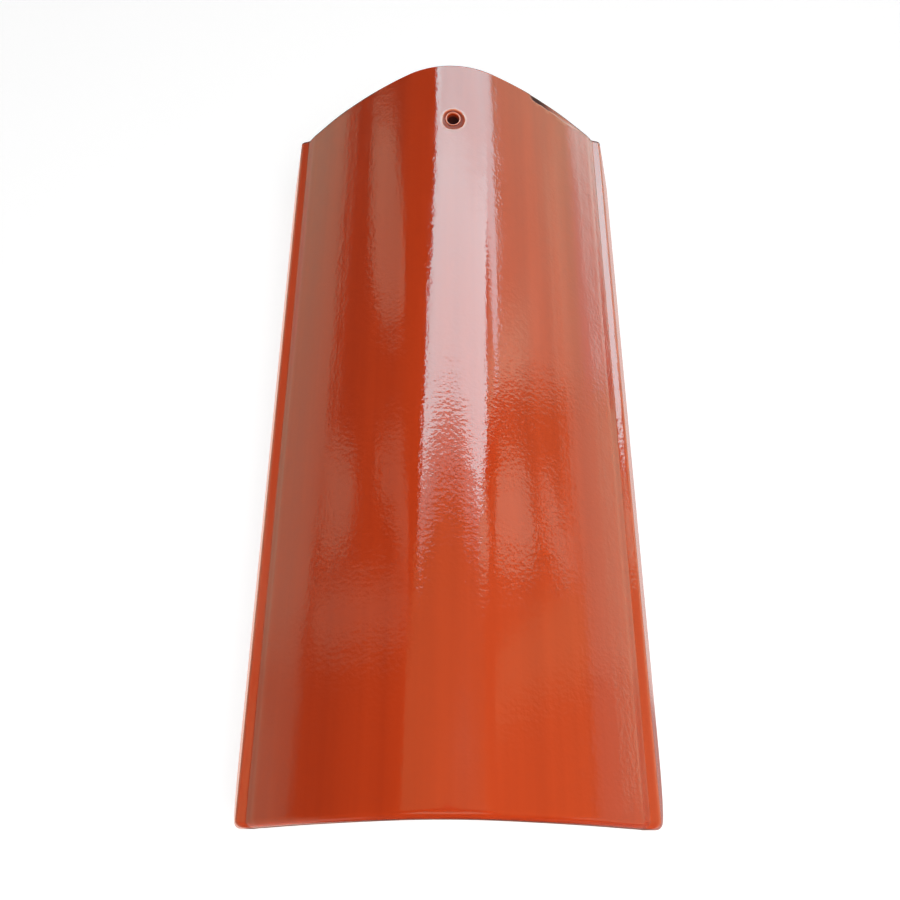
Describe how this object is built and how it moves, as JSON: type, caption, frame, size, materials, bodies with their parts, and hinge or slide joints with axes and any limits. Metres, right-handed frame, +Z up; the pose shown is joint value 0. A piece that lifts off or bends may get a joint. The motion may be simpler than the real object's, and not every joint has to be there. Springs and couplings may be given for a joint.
{
  "type": "verge tile",
  "caption": "Arched glazed clay hood tile with side legs and a nail hole near its head, laid in overlapping courses to cap the edge of a pitched roof.",
  "frame": {"origin": "on the plane of the feet, under the middle of the tile", "axes": "+X across the tile, +Y along it from the nose to the nailed head, +Z up through the crown"},
  "size_m": [0.22, 0.42, 0.1083],
  "materials": {
    "glazed_clay": "wet-looking orange-red gloss glaze with fine ripples"
  },
  "bodies": {
    "root": {"verge_tile": "glazed_clay"}
  },
  "joints": []
}
